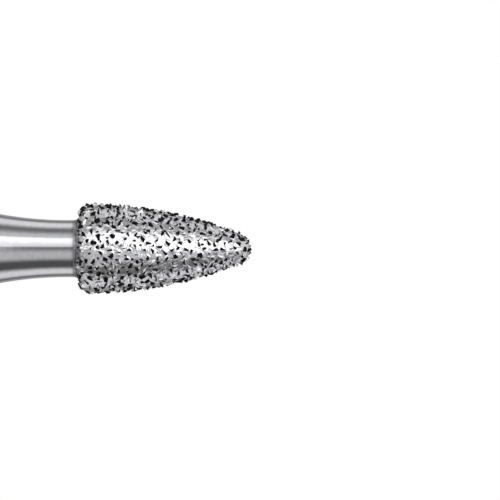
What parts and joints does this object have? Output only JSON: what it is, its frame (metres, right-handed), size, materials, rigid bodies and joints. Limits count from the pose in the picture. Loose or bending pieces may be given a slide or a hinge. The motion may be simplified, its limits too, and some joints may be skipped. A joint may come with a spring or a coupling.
{
  "type": "dental bur",
  "caption": "Ogival diamond-coated dental bur: a crystal-covered head on a flared steel neck and a plain friction-grip shank.",
  "frame": {"origin": "centre of the shank's flat end", "axes": "+Z along the bur's axis, from the end of the shank to the nose of the head; X and Y are free, because the bur is turned"},
  "size_m": [0.0018, 0.0018, 0.019],
  "materials": {
    "steel": "turned and ground stainless steel, satin",
    "nickel": "plated nickel, bright and slightly grained",
    "diamond": "sharp grey diamond crystals, glossy"
  },
  "bodies": {
    "root": {"steel_blank": "steel", "nickel_bond": "nickel", "diamond_grit": "diamond"}
  },
  "joints": []
}
